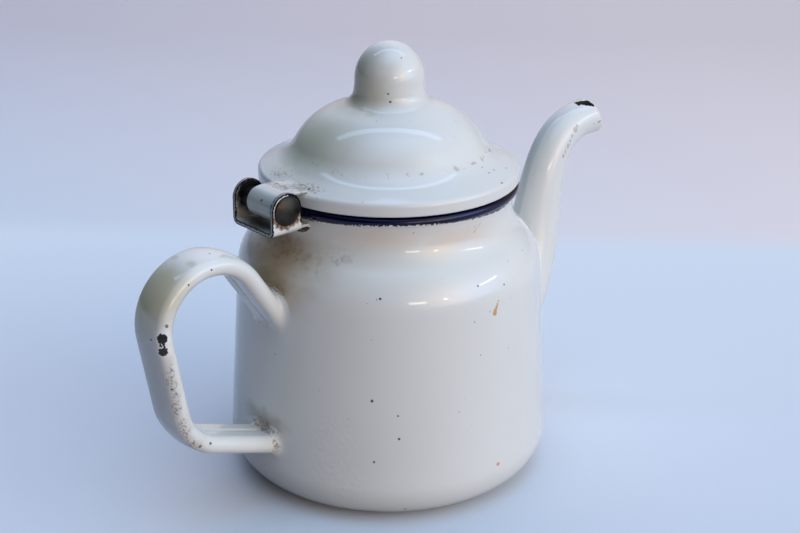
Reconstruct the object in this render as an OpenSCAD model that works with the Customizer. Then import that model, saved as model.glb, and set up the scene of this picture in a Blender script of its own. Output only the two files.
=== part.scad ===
// Small enamelled-steel coffee pot: body of three drawn rings, welded gooseneck
// spout, rolled strap handle and a domed lid on a pin hinge above the handle.
// Origin: centre of the flat base. +Z up, +X towards the spout, -X the handle.

/* [Sheet] */
// Thickness of the enamelled sheet of the body, spout, handle and lid
sheet = 1; // [0.8:0.1:1.3]

/* [Body] */
// Largest radius of the body, at the top of its base corner
body_r = 50; // [48:0.5:54]
// Radius of the rounded base corner
base_corner_r = 12; // [8:0.5:16]
// Lean of the side wall towards the axis, in degrees
side_lean = 3.6; // [2:0.2:5]
// Radius of the round shoulder
shoulder_r = 17; // [14:0.5:20]
// Radius of the neck at its waist
neck_r = 37.5; // [36:0.25:39]
// Radius of the hollow curve below the rim, seen from the side
neck_curve_r = 11.8; // [10:0.2:14]
// Height of the neck's waist
neck_waist_z = 85.6; // [82:0.2:92]
// Height of the rim bead's centre above the neck's waist
rim_rise = 5.5; // [4.5:0.1:6.5]
// Radius of the curled rim bead's section
bead_r = 1.55; // [1.3:0.05:1.8]
// How far the rim bead stands out past the neck's waist
bead_out = 2; // [1.6:0.1:2.4]

/* [Strainer holes] */
// Radius of each hole punched behind the spout
strain_hole_r = 1.6; // [1:0.1:2]
// Distance between neighbouring holes
strain_pitch = 5; // [4.5:0.25:6]
// Rings of holes round the middle one
strain_rings = 2; // [1:1:2]

/* [Spout] */
// How deep inside the body's largest radius the spout's curve starts
spout_sink = 6; // [4:0.5:10]
// Height at which the spout's curve starts
spout_root_z = 30; // [28:0.5:38]
// Distance of the mouth's centre past the body's largest radius
spout_reach = 39.8; // [34:0.2:44]
// Height of the mouth's centre above the rim bead's centre
spout_tip_rise = 4; // [0:0.2:8]
// How strongly the root sets off on its own slope
spout_root_pull = 40; // [34:0.5:44]
// Slope at which the root sets off, in degrees
spout_root_slope = 30; // [20:1:40]
// How strongly the mouth end points away from the body
spout_tip_pull = 36; // [30:0.5:40]
// Outer radius of the spout at its root
spout_root_r = 13.8; // [12:0.1:15]
// Outer radius of the spout at its mouth
spout_tip_r = 6.1; // [5.5:0.1:7.5]
// How quickly the spout narrows from root to mouth
spout_narrowing = 2.4; // [1.5:0.1:3]
// Lean of the mouth's cut from square, in degrees
mouth_lean = 20; // [5:1:30]

/* [Handle] */
// Width of the strap
strap_w = 14.6; // [12:0.2:18]
// Depth of the strap over its rolled edges
strap_depth = 5.4; // [4.6:0.1:6.5]
// Crown of the strap's outer face
strap_crown = 0.5; // [0.2:0.1:0.8]
// Width of the slot between the rolled edges
strap_slot_w = 1.4; // [1:0.2:7]
// Distance of the top bend's centre from the body's largest radius
handle_out = 19.2; // [17:0.2:24]
// Distance of the top bend's centre below the rim bead's centre
handle_drop = 25.6; // [22:0.2:30]
// Mean radius of the top bend
top_bend_r = 16.3; // [14:0.2:19]
// Mean radius of the lower bend
low_bend_r = 16.8; // [12:0.2:19]
// Length of the straight grip between the bends
grip_len = 22.9; // [18:0.5:30]
// Lean of the grip towards the body, in degrees
grip_lean = 10; // [4:0.5:14]
// Slope of the top arm down to the shoulder, in degrees
top_arm_slope = 56; // [48:1:64]
// Slope of the lower arm down to the body, in degrees
low_arm_slope = 19; // [10:0.5:26]

/* [Lid] */
// How far the lid's flange stands out past the rim bead
lid_over = 0; // [-0.5:0.25:1.5]
// Height of the flange's turned-down edge
lid_edge_h = 2.7; // [2.2:0.1:3.4]
// Radius of the round over the flange's edge
lid_edge_r = 1.6; // [1.3:0.1:2]
// Slope of the flange, in degrees
flange_slope = 25; // [20:1:30]
// Width of the flange's straight slope, along the slope
flange_w = 4.9; // [3:0.1:6]
// Radius of the hollow between flange and dome
valley_r = 12.9; // [10:0.2:15]
// Steepest slope of the dome's side, in degrees
dome_side_slope = 60; // [52:1:66]
// Radius of the dome's round
dome_r = 22.5; // [20:0.5:25]
// Slope of the dome where it runs up to the knob, in degrees
dome_top_slope = 22; // [18:1:26]
// Gap between the closed lid's edge and the rim
lid_gap = 0.35; // [0.3:0.05:0.6]

/* [Knob] */
// Radius of the knob
knob_r = 10.4; // [9:0.2:12]
// Radius of the fillet at the knob's foot
knob_fillet_r = 5; // [4:0.2:6]
// Height of the knob's straight side
knob_side_h = 3.2; // [2:0.2:6]
// Height of the knob's rounded top
knob_top_h = 11; // [8:0.2:13]

/* [Lid collar] */
// Depth of the collar below the lid's edge
collar_depth = 6; // [4:0.5:8]
// Gap between the collar and the rim's inner side
collar_gap = 0.9; // [0.8:0.1:1.4]
// Thickness of the collar
collar_t = 0.9; // [0.7:0.1:1.2]

/* [Hinge] */
// Distance of the pin's centre behind the lid's edge
pin_out = 6.5; // [6:0.25:8]
// Height of the pin's centre above the lid's lower edge
pin_rise = 1.2; // [1:0.1:2]
// Radius of the pin
pin_r = 3; // [2:0.1:3.2]
// Running clearance round the pin
pin_fit = 0.05; // [0.02:0.01:0.1]
// Radius of the pin's heads
head_r = 4.35; // [3.8:0.05:4.8]
// Height of the pin's heads
head_h = 1.7; // [1:0.1:2.2]
// Radius of the bracket's round-topped ears
ear_r = 5.1; // [4.8:0.1:6]
// Distance of the bracket's floor below the pin's centre
floor_drop = 7.4; // [6.6:0.1:8]
// Thickness of the bracket's sheet
bracket_t = 1.1; // [0.9:0.1:1.4]
// Clear width between the ears
ear_gap = 16.6; // [14:0.2:20]
// Radius of the bracket's bends, outside
bracket_bend_r = 2; // [1.6:0.1:2.6]
// Length of the knuckle, shorter than the gap between the ears
knuckle_len = 12; // [9:0.5:13]
// Gap between the knuckle and the right ear
knuckle_play = 0.4; // [0.3:0.1:0.8]
// Thickness of the leaf rolled round the pin
leaf_t = 1.2; // [1:0.1:1.5]

/* [Hidden] */
$fn = 96;
arc_step = 6;
spout_rings = 40;
spout_sides = 16;
reach = 300;
head_edge_h = 0.4;

function polar(r, a) = r * [cos(a), sin(a)];
// Evenly spaced angles from a0 to a1, no further apart than step
function turns(a0, a1, step = arc_step) =
    let (n = max(2, ceil(abs(a1 - a0) / step))) [for (i = [0:n]) a0 + (a1 - a0) * i / n];
// Points on an arc of radius r about c, from angle a0 to a1
function arc(c, r, a0, a1, step = arc_step) = [for (a = turns(a0, a1, step)) c + polar(r, a)];

// Body outline: base corner, leaning side, shoulder, hollow neck
rim_z = neck_waist_z + rim_rise;
rim_r = neck_r + bead_out;
bead_c = [rim_r - bead_r, rim_z];
corner_c = [body_r - base_corner_r, base_corner_r];
neck_c = [neck_r + neck_curve_r, neck_waist_z];
side_n = polar(1, side_lean);
side_off = corner_c * side_n + base_corner_r - shoulder_r;
// The shoulder's centre lies shoulder_r inside the side line and one radius sum from neck_c
side_at_base = side_off / side_n[0];
side_tan = tan(side_lean);
across = neck_c[0] - side_at_base;
qa = 1 + side_tan * side_tan;
qb = across * side_tan - neck_c[1];
qc = across * across + neck_c[1] * neck_c[1] - pow(shoulder_r + neck_curve_r, 2);
shoulder_z = (-qb - sqrt(qb * qb - qa * qc)) / qa;
shoulder_c = [side_at_base - side_tan * shoulder_z, shoulder_z];
shoulder_turn = atan2(neck_c[1] - shoulder_c[1], neck_c[0] - shoulder_c[0]);
rim_flare = asin(rim_rise / neck_curve_r);
// Heights of the two seams, where the corner and the shoulder's round end
pan_top_z = corner_c[1] + base_corner_r * sin(side_lean);
neck_foot_z = shoulder_c[1] + shoulder_r * sin(shoulder_turn);

// Half section of the body, filled, with its wall moved in by o
function body_outline(o) = concat(
    [[0, o]],
    arc(corner_c, base_corner_r - o, -90, side_lean),
    arc(shoulder_c, shoulder_r - o, side_lean, shoulder_turn),
    arc(neck_c, neck_curve_r + o, 180 + shoulder_turn, 180 - rim_flare),
    [[0, rim_z + (neck_curve_r + o) * sin(rim_flare) - rim_rise]]
);

// Lid outline from the flange's edge to the top of the knob
lid_r = rim_r + lid_over;
lid_z = rim_z + bead_r + lid_gap;
edge_c = [lid_r - lid_edge_r, lid_z + lid_edge_h];
flange_n = 90 - flange_slope;
dome_side_n = 90 - dome_side_slope;
dome_top_n = 90 - dome_top_slope;
// The knob's foot is a little wider than the knob, where the fillet ends short of upright
foot_n = 4;
foot_flare = 0.25;
flange_in = edge_c + polar(lid_edge_r, flange_n) + polar(flange_w, 180 - flange_slope);
valley_c = flange_in + polar(valley_r, flange_n);
dome_foot = valley_c - polar(valley_r, dome_side_n);
dome_c = dome_foot - polar(dome_r, dome_side_n);
dome_top = dome_c + polar(dome_r, dome_top_n);
knob_foot_r = knob_r + foot_flare;
fillet_top_dr = knob_fillet_r * (cos(dome_top_n) - cos(foot_n));
slope_run = dome_top[0] + fillet_top_dr - knob_foot_r;
fillet_start = dome_top + [-slope_run, slope_run * tan(dome_top_slope)];
fillet_c = fillet_start + polar(knob_fillet_r, dome_top_n);
knob_side_z = fillet_c[1] - knob_fillet_r * sin(foot_n);
knob_c_z = knob_side_z + knob_side_h;

function ellipse_arc(a, b, zc) = [for (u = [0:arc_step:90]) [a * cos(u), zc + b * sin(u)]];

// Half section of everything under the lid's outer face, moved in by o
function lid_outline(o) = concat(
    [[0, lid_z], [lid_r - o, lid_z]],
    arc(edge_c, lid_edge_r - o, 0, flange_n),
    arc(valley_c, valley_r + o, 180 + flange_n, 180 + dome_side_n),
    arc(dome_c, dome_r - o, dome_side_n, dome_top_n),
    arc(fillet_c, knob_fillet_r + o, 180 + dome_top_n, 180 + foot_n),
    ellipse_arc(knob_r - o, knob_top_h - o, knob_c_z)
);

// Hinge
pin_x = -(lid_r + pin_out);
pin_z = lid_z + pin_rise;
knuckle_r = pin_r + pin_fit + leaf_t;
floor_z = pin_z - floor_drop;
bracket_w = ear_gap + 2 * bracket_t;
knuckle_y = -ear_gap / 2 + knuckle_play;

// Handle: bend centres and the points where straight and bend meet
top_c = [-(body_r + handle_out), rim_z - handle_drop];
top_a0 = 90 - top_arm_slope;
top_a1 = 180 + grip_lean;
low_a1 = 270 - low_arm_slope;
grip_top = top_c + polar(top_bend_r, top_a1);
grip_foot = grip_top + polar(grip_len, top_a1 + 90);
low_c = grip_foot - polar(low_bend_r, top_a1);
// Straight run of each arm, which ends inside the body
arm_len = 2 * handle_out;
bend_step = 8;
edge_step = 15;
function station(c, r, a, along = 0) = [c + polar(r, a) + polar(along, a + 90), a + 90];
// Points and directions along the strap's middle, from inside the shoulder to inside the side
strap_path = concat(
    [station(top_c, top_bend_r, top_a0, -arm_len)],
    [for (a = turns(top_a0, top_a1, bend_step)) station(top_c, top_bend_r, a)],
    [for (a = turns(top_a1, low_a1, bend_step)) station(low_c, low_bend_r, a)],
    [station(low_c, low_bend_r, low_a1, arm_len)]
);

// Spout centre line: one cubic curve, level at the mouth
sp0 = [body_r - spout_sink, spout_root_z];
sp3 = [body_r + spout_reach, rim_z + spout_tip_rise];
sp1 = sp0 + polar(spout_root_pull, spout_root_slope);
sp2 = sp3 - [spout_tip_pull, 0];
function sp_pos(t) = pow(1 - t, 3) * sp0 + 3 * pow(1 - t, 2) * t * sp1
    + 3 * (1 - t) * t * t * sp2 + pow(t, 3) * sp3;
function sp_dir(t) = let (d = pow(1 - t, 2) * (sp1 - sp0) + 2 * (1 - t) * t * (sp2 - sp1)
    + t * t * (sp3 - sp2)) d / norm(d);
function sp_r(t) = spout_tip_r + (spout_root_r - spout_tip_r) * pow(max(0, 1 - t), spout_narrowing);
// The curve starts inside the body and runs past the mouth, so that both cuts find a whole tube
sp_from = -0.1;
sp_to = 1.12;
// Height at which the root's middle meets the wall
strain_z = spout_root_z + (body_r - sp0[0]) * tan(spout_root_slope);

// Point of the spout's skin at t, at angle a round the tube, moved in by o
function sp_skin(t, a, o) =
    let (c = sp_pos(t), d = sp_dir(t), r = sp_r(t) - o)
    [c[0] - d[1] * r * cos(a), r * sin(a), c[1] + d[0] * r * cos(a)];

module body_solid() {
    rotate_extrude() polygon(body_outline(0));
}

// Hexagonal pattern of holes, at y, z across the spout's root
module strainer_holes() {
    for (i = [-strain_rings:strain_rings])
        for (j = [-strain_rings:strain_rings])
            if (abs(i + j) <= strain_rings)
                translate([0, strain_pitch * (i + j / 2), strain_z + strain_pitch * j * sin(60)])
                    rotate([0, 90, 0]) cylinder(h = reach, r = strain_hole_r);
}

// Half section of the body's sheet between two heights
module body_sheet(z0, z1) {
    intersection() {
        difference() {
            polygon(body_outline(0));
            polygon(body_outline(sheet));
        }
        translate([0, z0]) square([body_r + sheet, z1 - z0]);
    }
}

// Drawn bottom, up to the top of its rounded corner
module base_pan() {
    color("whitesmoke") rotate_extrude() body_sheet(0, pan_top_z);
}

// Leaning side and shoulder, with punched strainer holes
module body() {
    color("whitesmoke") difference() {
        rotate_extrude() body_sheet(pan_top_z, neck_foot_z);
        strainer_holes();
    }
}

// Hollow neck with its curled rim
module neck() {
    color("whitesmoke") rotate_extrude() union() {
        body_sheet(neck_foot_z, rim_z + bead_r);
        translate(bead_c) circle(bead_r);
    }
}

// Shell swept through two rows of rings, its outer skin and its inner skin
module swept_shell(outer, inner) {
    n = len(outer) - 1;
    m = len(outer[0]) - 1;
    ring = 2 * (m + 1);
    points = [for (i = [0:n]) each concat(outer[i], [for (k = [m:-1:0]) inner[i][k]])];
    walls = [for (i = [0:n - 1]) for (k = [0:ring - 1])
        let (a = i * ring + k, b = i * ring + (k + 1) % ring)
            for (f = [[a, b, b + ring], [a, b + ring, a + ring]]) f];
    caps = [for (k = [0:m - 1])
        let (p = k, q = k + 1, r = ring - 2 - k, s = ring - 1 - k, e = n * ring)
            for (f = [[p, s, r], [p, r, q], [e + p, e + r, e + s], [e + p, e + q, e + r]]) f];
    polyhedron(points = points, faces = concat(walls, caps));
}

// Rings of the spout's half tube, with its wall moved in by o
function spout_skin(o) = [for (i = [0:spout_rings])
    let (t = sp_from + (sp_to - sp_from) * i / spout_rings)
        [for (k = [0:spout_sides]) sp_skin(t, 180 * k / spout_sides, o)]];

// Half spout, cut to the body at its root and slantwise at its mouth
module spout_half() {
    color("whitesmoke") difference() {
        swept_shell(spout_skin(0), spout_skin(sheet));
        body_solid();
        translate([sp3[0], 0, sp3[1]]) rotate([0, -mouth_lean, 0])
            translate([0, -reach / 2, -reach / 2]) cube(reach);
    }
}

module spout_left() {
    spout_half();
}

module spout_right() {
    mirror([0, 1, 0]) spout_half();
}

// Outline of the strap's skin, moved in by o: x away from the fingers, y across
function strap_outline(o) =
    let (r = strap_depth / 2, h = (strap_w - strap_depth) / 2,
         d = (h * h - strap_crown * strap_crown) / (2 * strap_crown),
         turn = atan2(h, d), crown_r = norm([h, d]) + r)
    concat(
        [[o - r, strap_slot_w / 2]],
        arc([0, h], r - o, 180, turn, edge_step),
        arc([-d, 0], crown_r - o, turn, -turn, edge_step),
        arc([0, -h], r - o, -turn, -180, edge_step),
        [[o - r, -strap_slot_w / 2]]
    );

// Rings of the strap along its path, with its wall moved in by o
function strap_skin(o) = [for (st = strap_path) let (p = st[0], n = polar(1, st[1] - 90))
    [for (q = strap_outline(o)) [p[0] + q[0] * n[0], q[1], p[1] + q[0] * n[1]]]];

// Rolled-edge strap handle, open towards the body
module handle() {
    color("whitesmoke") difference() {
        swept_shell(strap_skin(0), strap_skin(sheet));
        body_solid();
    }
}

// Round bar along the hinge's axis, from y = y0
module hinge_bar(r, len, y0) {
    translate([pin_x, y0, pin_z]) rotate([-90, 0, 0]) cylinder(h = len, r = r);
}

// Outline of the bracket from the side: two ears over a floor that reaches the neck
module bracket_side() {
    translate([pin_x, pin_z]) circle(ear_r);
    translate([pin_x - ear_r, floor_z]) square([2 * ear_r, floor_drop]);
    translate([pin_x - ear_r, floor_z]) square([-pin_x, bracket_t]);
}

// Bent U of the bracket, seen along X
module bracket_bend() {
    bend_in = bracket_bend_r - bracket_t;
    module u(w, r) {
        translate([-w / 2 + r, r]) square([w - 2 * r, reach]);
        translate([-w / 2, r]) square([w, reach]);
        for (s = [-1, 1]) translate([s * (w / 2 - r), r]) circle(r);
        translate([-w / 2 + r, 0]) square([w - 2 * r, r]);
    }
    difference() {
        u(bracket_w, bracket_bend_r);
        translate([0, bracket_t]) u(ear_gap, bend_in);
    }
}

// Bent sheet clevis welded to the neck
module hinge_bracket() {
    color("whitesmoke") difference() {
        intersection() {
            translate([0, reach / 2, 0]) rotate([90, 0, 0]) linear_extrude(reach) bracket_side();
            translate([-reach, 0, floor_z]) rotate([90, 0, 90]) linear_extrude(reach) bracket_bend();
        }
        hinge_bar(pin_r, reach, -reach / 2);
        body_solid();
    }
}

// Headed pin, riveted through both ears
module hinge_pin() {
    dome_h = head_h - head_edge_h;
    ball_r = (head_r * head_r + dome_h * dome_h) / (2 * dome_h);
    color("dimgray") {
        hinge_bar(pin_r, bracket_w, -bracket_w / 2);
        for (s = [0, 1]) mirror([0, s, 0]) translate([pin_x, -bracket_w / 2, pin_z])
            rotate([90, 0, 0]) {
                cylinder(h = head_edge_h, r = head_r);
                intersection() {
                    cylinder(h = head_h, r = head_r);
                    translate([0, 0, head_h - ball_r]) sphere(ball_r);
                }
            }
    }
}

// Drawn lid with its hollow knob
module lid() {
    color("whitesmoke") rotate_extrude() difference() {
        polygon(lid_outline(0));
        polygon(lid_outline(sheet));
    }
}

// Leaf rolled round the pin and laid on the lid's flange
module lid_leaf() {
    color("whitesmoke") difference() {
        union() {
            hinge_bar(knuckle_r, knuckle_len, knuckle_y);
            translate([pin_x, knuckle_y, pin_z + knuckle_r - leaf_t])
                cube([-pin_x - flange_in[0], knuckle_len, leaf_t]);
        }
        hinge_bar(pin_r + pin_fit, reach, -reach / 2);
        rotate_extrude() polygon(lid_outline(0));
    }
}

// Locating ring welded under the lid, its upper edge fitted to the flange's underside
module lid_collar() {
    out_r = bead_c[0] - bead_r - collar_gap;
    color("whitesmoke") rotate_extrude() intersection() {
        translate([out_r - collar_t, lid_z - collar_depth]) square([collar_t, reach]);
        union() {
            polygon(lid_outline(sheet));
            square([lid_r - sheet, lid_z]);
        }
    }
}

base_pan();
body();
neck();
spout_left();
spout_right();
handle();
hinge_bracket();
hinge_pin();
lid();
lid_leaf();
lid_collar();
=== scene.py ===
"""A small enamelled-steel coffee pot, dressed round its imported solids. Metres, +Z up, +X to the spout."""
import math

import bmesh
import bpy
import numpy as np
from mathutils import Matrix, Vector


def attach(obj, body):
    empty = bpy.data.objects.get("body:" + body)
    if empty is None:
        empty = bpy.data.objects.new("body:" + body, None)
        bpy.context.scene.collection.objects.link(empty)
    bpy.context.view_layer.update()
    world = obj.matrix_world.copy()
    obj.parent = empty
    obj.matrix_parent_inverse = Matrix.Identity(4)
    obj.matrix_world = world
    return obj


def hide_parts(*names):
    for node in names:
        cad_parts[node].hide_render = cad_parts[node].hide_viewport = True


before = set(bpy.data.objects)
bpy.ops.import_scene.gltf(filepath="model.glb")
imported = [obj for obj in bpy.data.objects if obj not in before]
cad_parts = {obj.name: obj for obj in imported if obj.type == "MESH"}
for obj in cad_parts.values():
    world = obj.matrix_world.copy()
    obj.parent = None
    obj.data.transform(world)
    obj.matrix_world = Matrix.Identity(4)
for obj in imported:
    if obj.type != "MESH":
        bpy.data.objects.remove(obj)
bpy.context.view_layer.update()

# --- Studio: camera, table and light -------------------------------------------------
# A short telephoto view from above the handle's side. The table is a pale blue sheet that
# fades to a lavender wall tone behind, both with painted light: the sheet is lighter towards the
# back and the wall lighter on the right. Four panes of light stand round the pot, and the room
# is a dark world with soft warm and cool glows, which the enamel mirrors.
scene = bpy.context.scene
scene.view_settings.view_transform = "Standard"


def colour(hex_code):
    """An sRGB hex colour as linear RGBA."""
    parts = [int(hex_code[i:i + 2], 16) / 255 for i in (1, 3, 5)]
    return [p / 12.92 if p <= 0.04045 else ((p + 0.055) / 1.055) ** 2.4 for p in parts] + [1.0]


def feed(node, inputs):
    """Sets a node's inputs, given in order or by name, and links those that are given a socket."""
    for key, value in inputs.items() if isinstance(inputs, dict) else enumerate(inputs):
        if isinstance(value, bpy.types.NodeSocket):
            node.id_data.links.new(value, node.inputs[key])
        else:
            node.inputs[key].default_value = value


def put(tree, kind, inputs=(), **settings):
    """Adds a node with its settings and inputs, and gives its first output."""
    node = tree.nodes.new(kind if "Node" in kind else "ShaderNode" + kind)
    for key, value in settings.items():
        setattr(node, key, value)
    feed(node, inputs)
    return next((out for out in node.outputs if out.enabled), None)


camera = bpy.data.objects.new("camera", bpy.data.cameras.new("camera"))
scene.collection.objects.link(camera)
scene.camera = camera
camera.data.lens, camera.data.sensor_width = 67.5, 36.0
eye, ahead = Vector((-0.28391, -0.32660, 0.23469)), Vector((0.6154, 0.6965, -0.3690)).normalized()
across = ahead.cross(Vector((0, 0, 1))).normalized()
over = across.cross(ahead)
roll = math.radians(0.3925)
turned = (math.cos(roll) * across + math.sin(roll) * over, math.cos(roll) * over - math.sin(roll) * across)
camera.matrix_world = Matrix.Translation(eye) @ Matrix((turned[0], turned[1], -ahead)).transposed().to_4x4()
camera.data.clip_start, camera.data.clip_end = 0.01, 50.0

TABLE_HALF, TABLE_DROP = 6, 0.00005
table_mesh = bpy.data.meshes.new("table")
corners = [(x * TABLE_HALF, y * TABLE_HALF, -TABLE_DROP) for x, y in ((-1, -1), (1, -1), (1, 1), (-1, 1))]
table_mesh.from_pydata(corners, [], [(0, 1, 2, 3)])
table = bpy.data.objects.new("table", table_mesh)
scene.collection.objects.link(table)
paper = bpy.data.materials.new("matt backdrop paper")
paper.use_nodes = True
tree = paper.node_tree
place = put(tree, "TexCoord").node.outputs["Object"]
BACK, RIGHT = (0.704, 0.710, 0), (0.811, -0.585, 0)
away = put(tree, "VectorMath", [place, BACK], operation="DOT_PRODUCT")
beside = put(tree, "VectorMath", [place, RIGHT], operation="DOT_PRODUCT")
aside = put(tree, "MapRange", [beside, -0.27, 0.25])
far_off = put(tree, "MapRange", [away, 0.2, 0.6])
# Painted light: the wall's tones are lighter on the right, where the light falls.
wall_tones_painted_light = []
for near, far in (("#d9e1e9", "#cfc6ca"), ("#fbece6", "#e8d8d2")):
    wall_tones_painted_light.append(put(tree, "Mix", {"Factor": far_off, "A": colour(near), "B": colour(far)}, data_type="RGBA"))
wall_painted_light = put(tree, "Mix", {"Factor": aside, "A": wall_tones_painted_light[0], "B": wall_tones_painted_light[1]}, data_type="RGBA")
# Painted light: the sheet is lighter towards the back.
depth = put(tree, "MapRange", [away, -0.2, 0.18])
sheet_painted_light = put(tree, "Mix", {"Factor": depth, "A": colour("#d1d9e4"), "B": colour("#ebeef1")}, data_type="RGBA")
behind = put(tree, "MapRange", [away, 0.18, 0.215], interpolation_type="SMOOTHSTEP")
tone = put(tree, "Mix", {"Factor": behind, "A": sheet_painted_light, "B": wall_painted_light}, data_type="RGBA")
rays = put(tree, "LightPath").node.outputs
bounced = put(tree, "Mix", {"Factor": rays["Is Diffuse Ray"], "A": tone, "B": colour("#94979f")}, data_type="RGBA")
feed(tree.nodes["Principled BSDF"], {"Roughness": 0.7, "Specular IOR Level": 0.2, "Base Color": bounced})
table_mesh.materials.append(paper)

TO_EYE = math.atan2(eye.y, eye.x)


def around_pot(bearing, rise):
    """Unit vector towards a light, its bearing taken from the camera's side, both in degrees."""
    turn, lift = TO_EYE + math.radians(bearing), math.radians(rise)
    return Vector((math.cos(turn) * math.cos(lift), math.sin(turn) * math.cos(lift), math.sin(lift)))


room = bpy.data.worlds.new("room")
scene.world = room
room.use_nodes = True
tree = room.node_tree
heading = put(tree, "TexCoord")
GLOW_SHARPNESS = 14.0
# bearing, rise, strength and tint of each glow
GLOWS = ((20, 12, 0.9, "#b9d9ff"), (45, 12, 3.7, "#ffd2a4"), (70, 12, 3.6, "#8cc6ff"), (95, 12, 0.8, "#f6e6e6"),
         (130, 12, 0.4, "#ffd9a0"), (180, 12, 0.87, "#ffe5db"), (60, 40, 0.85, "#f0ffd0"),
         (180, 45, 1.4, "#f4e6e8"), (205, 28, 0.8, "#dce6ff"), (90, 65, 1.3, "#aacbff"), (0, 80, 1.6, "#9ccfff"),
         (0, 66, 0.6, "#c4d4f2"))
glow = colour("#0a0a0a")[:3]
for bearing, rise, strength, tint in GLOWS:
    towards = put(tree, "VectorMath", [heading, around_pot(bearing, rise)], operation="DOT_PRODUCT")
    facing = put(tree, "Math", [towards, 0.0], operation="MAXIMUM")
    soft = put(tree, "Math", [facing, GLOW_SHARPNESS], operation="POWER")
    shade = [strength * c for c in colour(tint)[:3]]
    lit = put(tree, "VectorMath", {0: shade, "Scale": soft}, operation="SCALE")
    glow = put(tree, "VectorMath", [lit, glow], operation="ADD")
rays = put(tree, "LightPath").node.outputs
backdrop = put(tree, "Mix", {"Factor": rays["Is Camera Ray"], "A": glow, "B": colour("#d2d2e0")}, data_type="RGBA")
feed(tree.nodes["Background"], {"Color": backdrop})


LAMP_FAR, AIM_Z = 2, 0.06


def lamp(name, bearing, rise, size, power, tint):
    """A rectangular pane of light 2 m from the pot, in metres and watts, its long side level."""
    light = bpy.data.lights.new(name, "AREA")
    light.shape, light.size, light.size_y = "RECTANGLE", size[0], size[1]
    light.energy, light.color = power, colour(tint)[:3]
    holder = bpy.data.objects.new(name, light)
    holder.location = LAMP_FAR * around_pot(bearing, rise) + Vector((0, 0, AIM_Z))
    holder.rotation_euler = (-around_pot(bearing, rise)).to_track_quat("-Z", "Y").to_euler()
    scene.collection.objects.link(holder)


lamp("pane near the camera", 21, 12, (0.42, 0.14), 1.5, "#ffe9cc")
lamp("narrow pane", 42, 13, (0.12, 0.14), 0.45, "#ffe9cc")
lamp("pane at the right", 80, 19, (0.72, 0.09), 1.5, "#fff4e4")
lamp("ceiling strip", 180, 77, (3.2, 0.30), 9.0, "#b4d4ff")

# --- Pot shell: drawn steel body, neck and curled rim --------------------------------
# Sheet steel of 1 mm, drawn and rolled, dipped in white vitreous enamel inside and out.
# The rim is curled outwards into a bead and brushed with cobalt enamel before firing.
SHEET = 1.0
CORNER, CORNER_R = (38.0, 12.0), 12.0
LEAN = math.radians(3.6)
SHOULDER_R = 17.0
NECK, NECK_R = (49.3, 85.6), 11.8
BEAD, BEAD_R = (37.95, 91.1), 1.55
side_offset = CORNER[0] * math.cos(LEAN) + CORNER[1] * math.sin(LEAN) + CORNER_R - SHOULDER_R
base_at, lean_tan = side_offset / math.cos(LEAN), math.tan(LEAN)
qa, qb = 1 + lean_tan ** 2, (NECK[0] - base_at) * lean_tan - NECK[1]
qc = (NECK[0] - base_at) ** 2 + NECK[1] ** 2 - (SHOULDER_R + NECK_R) ** 2
shoulder_z = (-qb - math.sqrt(qb * qb - qa * qc)) / qa
SHOULDER = (base_at - lean_tan * shoulder_z, shoulder_z)
TURN = math.atan2(NECK[1] - SHOULDER[1], NECK[0] - SHOULDER[0])


def arc(centre, radius, start, end, step=3.0):
    """Points on an arc between two angles in degrees."""
    count = max(2, math.ceil(abs(end - start) / step))
    turn = np.radians(np.linspace(start, end, count + 1))
    return [(centre[0] + radius * math.cos(a), centre[1] + radius * math.sin(a)) for a in turn]


def run(start, end, count):
    """Evenly spaced points of a straight line, without its ends."""
    return [tuple(np.array(start) + (np.array(end) - start) * k / count) for k in range(1, count)]


def body_skin(inset):
    """The body's outline from the middle of its base to its rim, moved in by inset."""
    corner = arc(CORNER, CORNER_R - inset, -90, math.degrees(LEAN))
    shoulder = arc(SHOULDER, SHOULDER_R - inset, math.degrees(LEAN), math.degrees(TURN), 2.5)
    neck = arc(NECK, NECK_R + inset, 180 + math.degrees(TURN), 152, 2.5)[1:]
    foot = (0.0, inset)
    return [foot] + run(foot, corner[0], 12) + corner + run(corner[-1], shoulder[0], 24) + shoulder + neck


def body_radius(z):
    """The body's outer radius at height z."""
    side = (side_offset + SHOULDER_R - z * math.sin(LEAN)) / math.cos(LEAN)
    corner = CORNER[0] + np.sqrt(np.maximum(CORNER_R ** 2 - (z - CORNER[1]) ** 2, 0))
    shoulder = SHOULDER[0] + np.sqrt(np.maximum(SHOULDER_R ** 2 - (z - SHOULDER[1]) ** 2, 0))
    neck = NECK[0] - np.sqrt(np.maximum(NECK_R ** 2 - (z - NECK[1]) ** 2, 0))
    low, mid = CORNER[1] + CORNER_R * math.sin(LEAN), SHOULDER[1] + SHOULDER_R * math.sin(LEAN)
    top = SHOULDER[1] + SHOULDER_R * math.sin(TURN)
    return np.where(z < low, corner, np.where(z < mid, side, np.where(z < top, shoulder, neck)))


def piece(name, points, faces, material, sharp=40.0):
    """A closed mesh object from points in mm, its doubles merged and its faces turned outwards."""
    mesh = bpy.data.meshes.new(name)
    mesh.from_pydata((np.asarray(points, float) * 0.001).tolist(), [], faces)
    work = bmesh.new()
    work.from_mesh(mesh)
    bmesh.ops.remove_doubles(work, verts=work.verts, dist=1e-7)
    bmesh.ops.dissolve_degenerate(work, edges=work.edges, dist=1e-8)
    bmesh.ops.recalc_face_normals(work, faces=work.faces)
    work.to_mesh(mesh)
    work.free()
    mesh.shade_smooth()
    mesh.set_sharp_from_angle(angle=math.radians(sharp))
    mesh.materials.append(material)
    made = bpy.data.objects.new(name, mesh)
    scene.collection.objects.link(made)
    return made


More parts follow.
